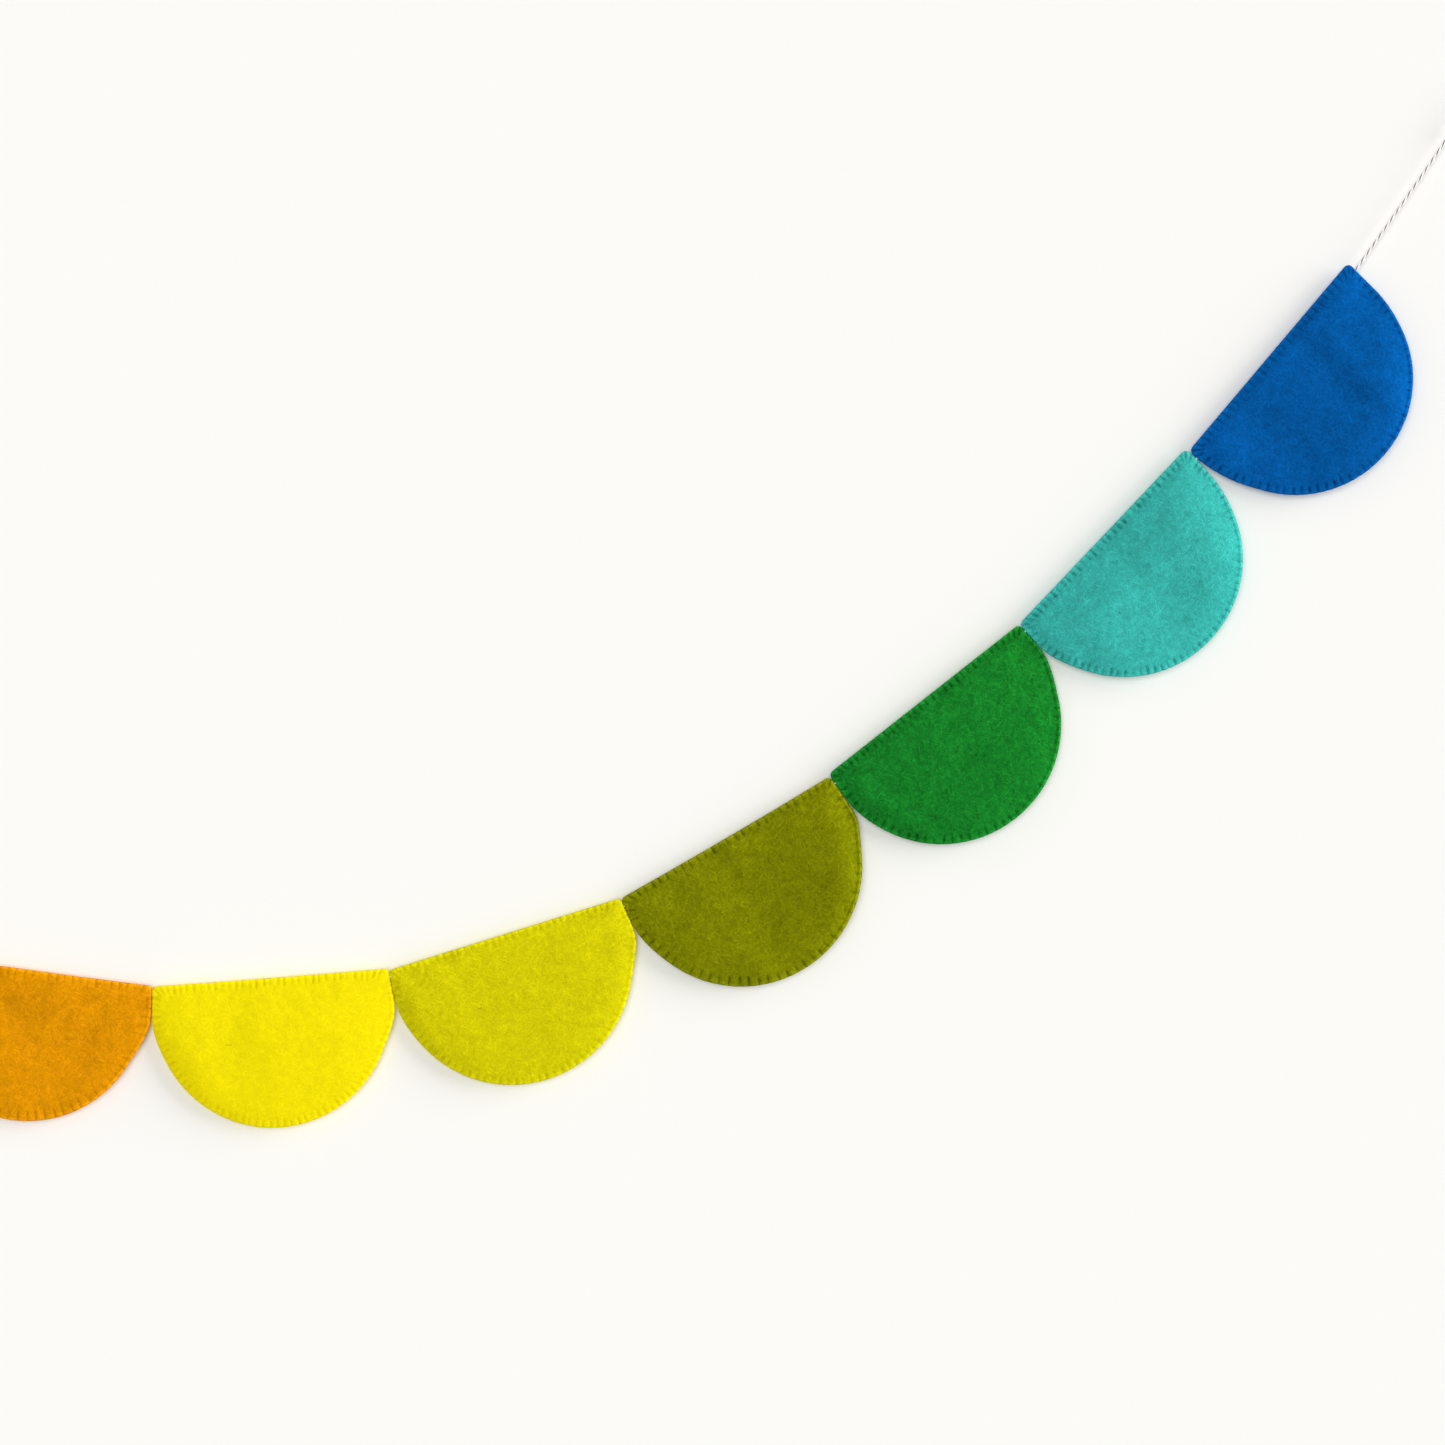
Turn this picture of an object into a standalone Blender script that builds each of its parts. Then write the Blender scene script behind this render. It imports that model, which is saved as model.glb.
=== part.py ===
# Felt scallop bunting as it hangs: seven scallops on one twine, with a loop tied at each end.
# Each scallop is two layers of felt, sewn together round the rim, and the twine runs
# between them just under the top edge.
# Metres, +Z up, +X to the right along the row, -Y out to the viewer.
# The origin is the eye of the right loop, where a hook holds the bunting up.

import math
from collections import namedtuple

import bmesh
import bpy
from mathutils import Vector

MM = 0.001

# Felt
FELT_THICKNESS = 1.2 * MM
FELT_ROUGHNESS = 0.95
LAYER_GAP = 0.36 * MM
COLUMNS = 10
SHARP_EDGE = 40.0

# Twine
TWINE_DIAMETER = 1.25 * MM
TWINE_COLOUR = (0.86, 0.84, 0.80)
TWINE_ROUGHNESS = 0.85
TWINE_BEVEL_RESOLUTION = 2
TWINE_CLEARANCE = 0.35 * MM
CHANNEL_ABOVE = 3.2 * MM
CHANNEL_BELOW = 5.0 * MM
CORD_GAP = 0.38 * MM
JUNCTION_BEND = 3.0 * MM
BEND_STEPS = 3
JUNCTION_GAP = 0.6 * MM

# Tails, knots and hanging loops
RIGHT_TAIL_LENGTH = 70.0 * MM
RIGHT_TAIL_SLOPE = 55.2
LEFT_TAIL_LENGTH = 34.0 * MM
LEFT_TAIL_SLOPE = -13.4
TAIL_BOW = 0.4 * MM
TAIL_STEP = 3.6 * MM
KNOT_HALF_LENGTH = 2.6 * MM
KNOT_RADIUS = 2.0 * MM
KNOT_SEGMENTS = 12
KNOT_RINGS = 8
LOOP_LENGTH = 22.0 * MM
LOOP_BEND_RADIUS = 2.8 * MM
LOOP_STRAND_OFFSET = 0.8 * MM
LOOP_SIDE_STEPS = 5
LOOP_BEND_STEPS = 6

# One row for each scallop, from left to right, angles in degrees and lengths in mm: slope of
# the twine inside it and the length of twine it takes, tilt of the top edge, depth of the
# twine below the middle of that edge, dip of the middle of the edge, reach of the top corners
# to the left and right, rounding of those corners, radius of the belly, place of the belly's
# centre along and below the top edge, and how far the lowest point stands forward.
Scallop = namedtuple("Scallop", "name slope pitch tilt inset dip corner_left corner_right corner_round "
                                "radius centre_u centre_v lift colour")
SCALLOPS = (
    Scallop("orange", -7.8, 102.3, -7.8, 3.3, 0.3, 51.5, 51.2, 1.4,
            49.5, -1.0, 14.4, 1.0, (0.703, 0.276, 0.001)),
    Scallop("yellow", 4.1, 101.6, 4.4, 3.45, 0.2, 51.2, 51.2, 1.2,
            50.0, -1.3, 13.25, 0.6, (0.866, 0.722, 0.002)),
    Scallop("chartreuse", 16.9, 102.9, 17.3, 3.6, 0.0, 51.9, 51.8, 1.3,
            51.2, -1.9, 12.55, 1.4, (0.631, 0.578, 0.002)),
    Scallop("olive", 30.3, 103.4, 30.3, 3.8, 0.4, 52.0, 51.8, 1.6,
            51.05, -0.7, 13.4, 1.8, (0.191, 0.209, 0.001)),
    Scallop("green", 38.7, 103.3, 38.2, 4.55, 0.0, 52.0, 51.8, 1.8,
            50.75, -1.4, 12.55, 1.2, (0.008, 0.198, 0.019)),
    Scallop("teal", 45.3, 102.3, 46.5, 5.25, 0.0, 51.8, 51.8, 2.2,
            50.0, -0.9, 12.85, 1.6, (0.041, 0.429, 0.381)),
    Scallop("blue", 50.0, 104.6, 49.8, 4.5, 0.0, 53.4, 52.3, 2.4,
            49.25, 0.5, 14.5, 2.2, (0.001, 0.095, 0.347)),
)

# Soft creases, lengths in mm from the middle of the top edge: where each starts and ends,
# half its width, and its height towards the viewer (a trough is negative).
Crease = namedtuple("Crease", "scallop start_u start_v end_u end_v half_width height")
CREASES = (
    Crease("orange", -12, 19, 16, 24, 24.5, -0.57),
    Crease("orange", -5, 4, 11, 16, 20.9, 0.58),
    Crease("orange", 17, 54, 12, 57, 15.8, -0.25),
    Crease("orange", 43, 2, 44, 9, 6.5, -0.14),
    Crease("orange", -8, 17, 11, 20, 12.4, -0.34),
    Crease("orange", 0, 10, -17, 16, 14.7, -0.25),
    Crease("yellow", 22, 22, -8, 19, 34, 0.55),
    Crease("yellow", -60, 25, -31, 66, 18.3, -0.52),
    Crease("yellow", -38, 11, -33, 43, 22.4, 0.32),
    Crease("yellow", 2, 48, 45, 53, 34, 0.47),
    Crease("yellow", -14, 2, -20, 24, 13.5, -0.12),
    Crease("yellow", 46, 14, 26, 17, 12.7, -0.11),
    Crease("chartreuse", -60, 7, -47, 60, 11.8, -0.73),
    Crease("chartreuse", 3, 28, 21, 38, 27.7, 0.31),
    Crease("chartreuse", -47, 41, -45, 43, 21.9, -0.56),
    Crease("chartreuse", 46, 3, 41, 27, 7.7, 0.15),
    Crease("chartreuse", 35, 33, 24, 19, 17.2, 0.29),
    Crease("chartreuse", -37, 5, -32, 11, 8.7, 0.18),
    Crease("olive", 30, 18, 28, 35, 31.2, 1.32),
    Crease("olive", 44, 6, 36, 41, 9.7, 0.36),
    Crease("olive", -12, 2, -4, 63, 15, -0.54),
    Crease("olive", -5, 8, -26, 28, 34, 0.78),
    Crease("olive", 28, 47, -11, 56, 20.6, 0.76),
    Crease("olive", -32, 17, -22, 27, 15.5, -0.55),
    Crease("olive", 20, 40, 11, 48, 12.5, -0.38),
    Crease("olive", 8, 12, 47, 17, 13, -0.4),
    Crease("olive", -9, 2, -6, 14, 6.7, -0.21),
    Crease("green", 56, 7, 37, 65, 33.7, -0.96),
    Crease("green", -36, 15, -20, 53, 27.4, 1.12),
    Crease("green", 8, 8, -6, 8, 34, 1.16),
    Crease("green", 56, 10, 34, 23, 21.3, 0.68),
    Crease("green", -22, 16, -35, 13, 14, -0.5),
    Crease("green", 16, 50, 8, 46, 34, 1.02),
    Crease("green", -46, 15, -37, 44, 8.1, 0.36),
    Crease("green", 44, 12, 47, 21, 9.2, -0.48),
    Crease("green", 3, 26, 47, 30, 11.2, -0.19),
    Crease("teal", 26, 11, 19, 49, 26.7, 1.27),
    Crease("teal", -29, 17, 1, 14, 30.5, 1.58),
    Crease("teal", -30, 44, 26, 40, 31, 1.12),
    Crease("teal", -17, 19, 2, 25, 10, 0.23),
    Crease("teal", 39, 17, 34, 20, 27.8, 0.64),
    Crease("teal", -43, 2, -47, 24, 7.6, 0.28),
    Crease("teal", 0, 2, -4, 23, 7.8, -0.17),
    Crease("teal", -1, 56, -3, 57, 11, 0.22),
    Crease("teal", 23, 21, 39, 8, 10.7, 0.12),
    Crease("blue", 32, 6, 25, 44, 23.6, 1.46),
    Crease("blue", 0, 13, 0, 50, 34, 1.38),
    Crease("blue", 52, 24, 11, 56, 16.3, 0.52),
    Crease("blue", -42, 13, -41, 9, 12, 0.46),
    Crease("blue", 20, 17, 19, 55, 9.4, 0.38),
    Crease("blue", 12, 38, -2, 50, 15.7, 0.31),
    Crease("blue", 6, 3, -16, 6, 10.1, 0.26),
    Crease("blue", 22, 4, 39, 6, 13.3, 0.51),
    Crease("blue", -22, 14, -28, 43, 10.6, -0.19),
)
CREASE_START = 5.0 * MM
CREASE_FADE = 14.0 * MM

# Mesh rows down to below the twine, each as a share of the twine's depth and a further
# depth, then angles round the belly for the rows from its widest line down.
UPPER_ROWS = ((0.0, 0.0), (0.15, 0.0), (0.5, 0.0), (1.0, 0.0), (1.0, 2.7 * MM))
BELLY_ANGLES = (0, 14, 28, 42, 55, 67, 78, 84)
SIDE_END = 34.0 * MM
SIDE_EXPONENT = 1.35


def clear_scene():
    for scene_object in list(bpy.data.objects):
        bpy.data.objects.remove(scene_object, do_unlink=True)


def make_material(name, colour, roughness):
    material = bpy.data.materials.new(name)
    material.use_nodes = True
    shader = material.node_tree.nodes["Principled BSDF"]
    shader.inputs["Base Color"].default_value = (*colour, 1.0)
    shader.inputs["Roughness"].default_value = roughness
    shader.inputs["Metallic"].default_value = 0.0
    return material


def link_object(name, data, material):
    data.materials.append(material)
    new_object = bpy.data.objects.new(name, data)
    bpy.context.scene.collection.objects.link(new_object)
    return new_object


def direction(slope):
    # A unit vector in the hanging plane, rising to the right by slope degrees.
    angle = math.radians(slope)
    return Vector((math.cos(angle), 0.0, math.sin(angle)))


def smooth_step(value):
    value = min(max(value, 0.0), 1.0)
    return value * value * (3.0 - 2.0 * value)


def soft_bump(distance, half_width):
    # 1 at the middle, falling smoothly to 0 at half_width.
    if abs(distance) >= half_width:
        return 0.0
    return math.cos(0.5 * math.pi * distance / half_width) ** 2


# The twine's route: the eye of the right loop, the right knot, the right exit, one
# junction between each two scallops, the left exit, the left knot and the left eye.

KNOT_REACH = KNOT_HALF_LENGTH + CORD_GAP
RIGHT_WAY = direction(RIGHT_TAIL_SLOPE)
LEFT_WAY = direction(LEFT_TAIL_SLOPE)
RIGHT_EYE = Vector((0.0, 0.0, 0.0))
RIGHT_KNOT = RIGHT_EYE - LOOP_LENGTH * RIGHT_WAY
RIGHT_EXIT = RIGHT_KNOT - (KNOT_REACH + RIGHT_TAIL_LENGTH) * RIGHT_WAY


def twine_junctions():
    # From the left exit to the right exit.
    points = [RIGHT_EXIT]
    for scallop in reversed(SCALLOPS):
        points.append(points[-1] - scallop.pitch * MM * direction(scallop.slope))
    return points[::-1]


JUNCTIONS = twine_junctions()
LEFT_EXIT = JUNCTIONS[0]
LEFT_KNOT = LEFT_EXIT - (KNOT_REACH + LEFT_TAIL_LENGTH) * LEFT_WAY
LEFT_EYE = LEFT_KNOT - LOOP_LENGTH * LEFT_WAY


# Felt scallops. u runs along the top edge from its middle, v runs down from it.

def twine_depth(scallop, u):
    # Depth of the twine below the top edge's line.
    return scallop.inset * MM + u * math.tan(math.radians(scallop.tilt - scallop.slope))


def neighbour_limit(scallop, side, v):
    # The outline stops short of the line that halves the angle to the next scallop.
    place = SCALLOPS.index(scallop) + side
    if not 0 <= place < len(SCALLOPS):
        return math.inf
    half_turn = math.radians(0.5 * side * (SCALLOPS[place].tilt - scallop.tilt))
    junction = 0.5 * scallop.pitch * MM
    return junction - 0.5 * JUNCTION_GAP + (v - twine_depth(scallop, side * junction)) * math.tan(half_turn)


def side_reach(scallop, side, v):
    # How far the outline reaches from the middle at depth v, on side -1 or +1.
    radius = scallop.radius * MM
    below = max(v - scallop.centre_v * MM, 0.0)
    centre_u = side * scallop.centre_u * MM
    reach = centre_u + math.sqrt(max(radius ** 2 - below ** 2, 0.0))
    corner = (scallop.corner_left if side < 0 else scallop.corner_right) * MM
    if v < SIDE_END:
        reach += (corner - centre_u - radius) * (1.0 - v / SIDE_END) ** SIDE_EXPONENT
    reach = min(reach, neighbour_limit(scallop, side, v))
    rounding = scallop.corner_round * MM
    if v < rounding:
        reach -= rounding - math.sqrt(rounding ** 2 - (rounding - v) ** 2)
    return reach


def mesh_rows(scallop):
    # For each row its share of the twine's depth, a further depth, and how far its middle
    # follows the belly's curve.
    rows = [(twine_share, further, 0.0) for twine_share, further in UPPER_ROWS]
    last_angle = BELLY_ANGLES[-1]
    for angle in BELLY_ANGLES:
        depth = scallop.centre_v * MM + scallop.radius * MM * math.sin(math.radians(angle))
        rows.append((0.0, depth, (angle / last_angle) ** 3))
    return rows


def felt_point(scallop, share, row):
    # The place (u, v) of a mesh vertex, share of the way from left to right along its row.
    twine_share, further, follow = row
    half = 0.5 * scallop.pitch * MM
    left = -side_reach(scallop, -1, twine_share * twine_depth(scallop, -half) + further)
    right = side_reach(scallop, 1, twine_share * twine_depth(scallop, half) + further)
    u = left + share * (right - left)
    twine_v = twine_depth(scallop, u)
    v = twine_share * twine_v + further
    v += scallop.dip * MM * 4.0 * share * (1.0 - share) * max(1.0 - v / twine_v, 0.0)
    if follow > 0.0:
        across = u - scallop.centre_u * MM
        rim = scallop.centre_v * MM + math.sqrt(max((scallop.radius * MM) ** 2 - across ** 2, 0.0))
        v += follow * (rim - v)
    return u, v


def crease_height(crease, u, v):
    start = Vector((crease.start_u, crease.start_v)) * MM
    along = Vector((crease.end_u, crease.end_v)) * MM - start
    place = Vector((u, v)) - start
    share = min(max(place.dot(along) / along.length_squared, 0.0), 1.0)
    distance = (place - share * along).length
    return crease.height * MM * soft_bump(distance, crease.half_width * MM)


def forward_heave(scallop, u, v):
    # How far the felt stands forward of the twine's plane, not counting the channel.
    inset = scallop.inset * MM
    depth = (scallop.centre_v + scallop.radius) * MM
    lift = scallop.lift * MM * smooth_step((v - inset) / (depth - inset))
    creases = sum(crease_height(crease, u, v) for crease in CREASES if crease.scallop == scallop.name)
    return lift + creases * smooth_step((v - CREASE_START) / CREASE_FADE)


def half_gap(scallop, u, v):
    # Half the space between the two layers, wider where the twine runs.
    below = v - twine_depth(scallop, u)
    reach = CHANNEL_ABOVE if below < 0.0 else CHANNEL_BELOW
    channel = 0.5 * TWINE_DIAMETER + TWINE_CLEARANCE - 0.5 * LAYER_GAP
    return 0.5 * LAYER_GAP + channel * soft_bump(below, reach)


def make_layer(scallop, middle, layer, side, material):
    # side is -1 for the front layer and +1 for the back one.
    along = direction(scallop.tilt)
    down = Vector((along.z, 0.0, -along.x))
    top = middle - scallop.inset * MM * down
    rows = mesh_rows(scallop)
    row_count = len(rows) - 1
    sheet = bmesh.new()
    bmesh.ops.create_grid(sheet, x_segments=COLUMNS, y_segments=row_count, size=1.0)
    for vertex in sheet.verts:
        share = 0.5 * (vertex.co.x + 1.0)
        row = rows[round(0.5 * (1.0 - vertex.co.y) * row_count)]
        u, v = felt_point(scallop, share, row)
        place = top + u * along + v * down
        place.y = side * half_gap(scallop, u, v) - forward_heave(scallop, u, v)
        vertex.co = place
    thickened = bmesh.ops.extrude_face_region(sheet, geom=sheet.faces[:])
    outer = [item for item in thickened["geom"] if isinstance(item, bmesh.types.BMVert)]
    bmesh.ops.translate(sheet, vec=(0.0, side * FELT_THICKNESS, 0.0), verts=outer)
    sheet.normal_update()
    bmesh.ops.recalc_face_normals(sheet, faces=sheet.faces[:])
    mesh = bpy.data.meshes.new(scallop.name + "_" + layer)
    sheet.to_mesh(mesh)
    sheet.free()
    mesh.shade_smooth()
    mesh.set_sharp_from_angle(angle=math.radians(SHARP_EDGE))
    return link_object(mesh.name, mesh, material)


def make_scallops():
    for scallop, left, right in zip(SCALLOPS, JUNCTIONS[:-1], JUNCTIONS[1:]):
        middle = 0.5 * (left + right)
        for layer, side in (("front", -1), ("back", 1)):
            name = "felt_" + scallop.name + "_" + layer
            material = make_material(name, scallop.colour, FELT_ROUGHNESS)
            make_layer(scallop, middle, layer, side, material)


# Twine, knots and loops.

def make_tube(name, points):
    curve = bpy.data.curves.new(name, "CURVE")
    curve.dimensions = "3D"
    curve.bevel_depth = 0.5 * TWINE_DIAMETER
    curve.bevel_resolution = TWINE_BEVEL_RESOLUTION
    curve.use_fill_caps = True
    spline = curve.splines.new("POLY")
    spline.points.add(len(points) - 1)
    for spline_point, place in zip(spline.points, points):
        spline_point.co = (*place, 1.0)
    spline.use_smooth = True
    return link_object(name, curve, make_material(name, TWINE_COLOUR, TWINE_ROUGHNESS))


def run_points():
    # Straight inside each scallop, and a soft bend at each junction.
    points = [JUNCTIONS[0] + CORD_GAP * direction(SCALLOPS[0].slope)]
    for before, junction, after in zip(SCALLOPS[:-1], JUNCTIONS[1:-1], SCALLOPS[1:]):
        start = junction - JUNCTION_BEND * direction(before.slope)
        end = junction + JUNCTION_BEND * direction(after.slope)
        for step in range(BEND_STEPS + 1):
            share = step / BEND_STEPS
            first = start.lerp(junction, share)
            second = junction.lerp(end, share)
            points.append(first.lerp(second, share))
    points.append(JUNCTIONS[-1] - CORD_GAP * direction(SCALLOPS[-1].slope))
    return points


def tail_points(start, end):
    # A taut tail with a slight bow downwards.
    count = max(round((end - start).length / TAIL_STEP), 2)
    points = []
    for step in range(count + 1):
        share = step / count
        place = start.lerp(end, share)
        place.z -= TAIL_BOW * math.sin(math.pi * share)
        points.append(place)
    return points


def loop_points(knot, eye):
    # Out from the knot along one side, round the eye and back along the other side.
    away = (eye - knot).normalized()
    across = Vector((-away.z, 0.0, away.x))
    straight = (eye - knot).length - KNOT_REACH
    outward = []
    homeward = []
    for step in range(LOOP_SIDE_STEPS):
        share = step / LOOP_SIDE_STEPS
        offset = LOOP_STRAND_OFFSET + (LOOP_BEND_RADIUS - LOOP_STRAND_OFFSET) * smooth_step(share)
        place = knot + (KNOT_REACH + share * straight) * away
        outward.append(place + offset * across)
        homeward.append(place - offset * across)
    bend = []
    for step in range(LOOP_BEND_STEPS + 1):
        angle = math.pi * step / LOOP_BEND_STEPS
        bend.append(eye + LOOP_BEND_RADIUS * (math.sin(angle) * away + math.cos(angle) * across))
    return outward + bend + homeward[::-1]


def make_knot(name, centre, away):
    across = Vector((-away.z, 0.0, away.x))
    ball = bmesh.new()
    bmesh.ops.create_uvsphere(ball, u_segments=KNOT_SEGMENTS, v_segments=KNOT_RINGS, radius=1.0)
    for vertex in ball.verts:
        x, y, z = vertex.co
        sideways = x * across + Vector((0.0, y, 0.0))
        vertex.co = centre + KNOT_HALF_LENGTH * z * away + KNOT_RADIUS * sideways
    ball.normal_update()
    bmesh.ops.recalc_face_normals(ball, faces=ball.faces[:])
    mesh = bpy.data.meshes.new(name)
    ball.to_mesh(mesh)
    ball.free()
    mesh.shade_smooth()
    return link_object(name, mesh, make_material(name, TWINE_COLOUR, TWINE_ROUGHNESS))


def make_twine():
    make_tube("twine_run", run_points())
    make_tube("twine_right_tail", tail_points(RIGHT_EXIT, RIGHT_KNOT - KNOT_REACH * RIGHT_WAY))
    make_tube("twine_left_tail", tail_points(LEFT_EXIT, LEFT_KNOT + KNOT_REACH * LEFT_WAY))
    make_knot("right_knot", RIGHT_KNOT, RIGHT_WAY)
    make_knot("left_knot", LEFT_KNOT, -LEFT_WAY)
    make_tube("right_loop", loop_points(RIGHT_KNOT, RIGHT_EYE))
    make_tube("left_loop", loop_points(LEFT_KNOT, LEFT_EYE))


clear_scene()
make_scallops()
make_twine()
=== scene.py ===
# Felt scallop bunting: stitched felt, its thread and fibres, and the twine that carries it.
import math
import random
from bisect import bisect_right

import bmesh
import bpy
from mathutils import Matrix, Vector, kdtree, noise


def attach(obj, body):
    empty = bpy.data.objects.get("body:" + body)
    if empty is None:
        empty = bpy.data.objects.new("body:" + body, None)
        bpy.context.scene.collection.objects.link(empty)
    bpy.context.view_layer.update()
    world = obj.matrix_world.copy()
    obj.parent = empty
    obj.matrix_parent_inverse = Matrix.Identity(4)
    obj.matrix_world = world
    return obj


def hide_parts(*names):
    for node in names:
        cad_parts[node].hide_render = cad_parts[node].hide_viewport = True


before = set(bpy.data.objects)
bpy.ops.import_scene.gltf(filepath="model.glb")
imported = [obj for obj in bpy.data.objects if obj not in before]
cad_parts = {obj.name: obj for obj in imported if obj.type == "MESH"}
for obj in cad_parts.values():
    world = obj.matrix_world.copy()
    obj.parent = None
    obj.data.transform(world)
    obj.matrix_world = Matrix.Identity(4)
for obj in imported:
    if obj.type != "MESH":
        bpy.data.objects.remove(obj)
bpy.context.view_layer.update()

# Shape sizes are in mm and angles in degrees. Every mesh is placed in metres.
mm = 0.001

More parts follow.
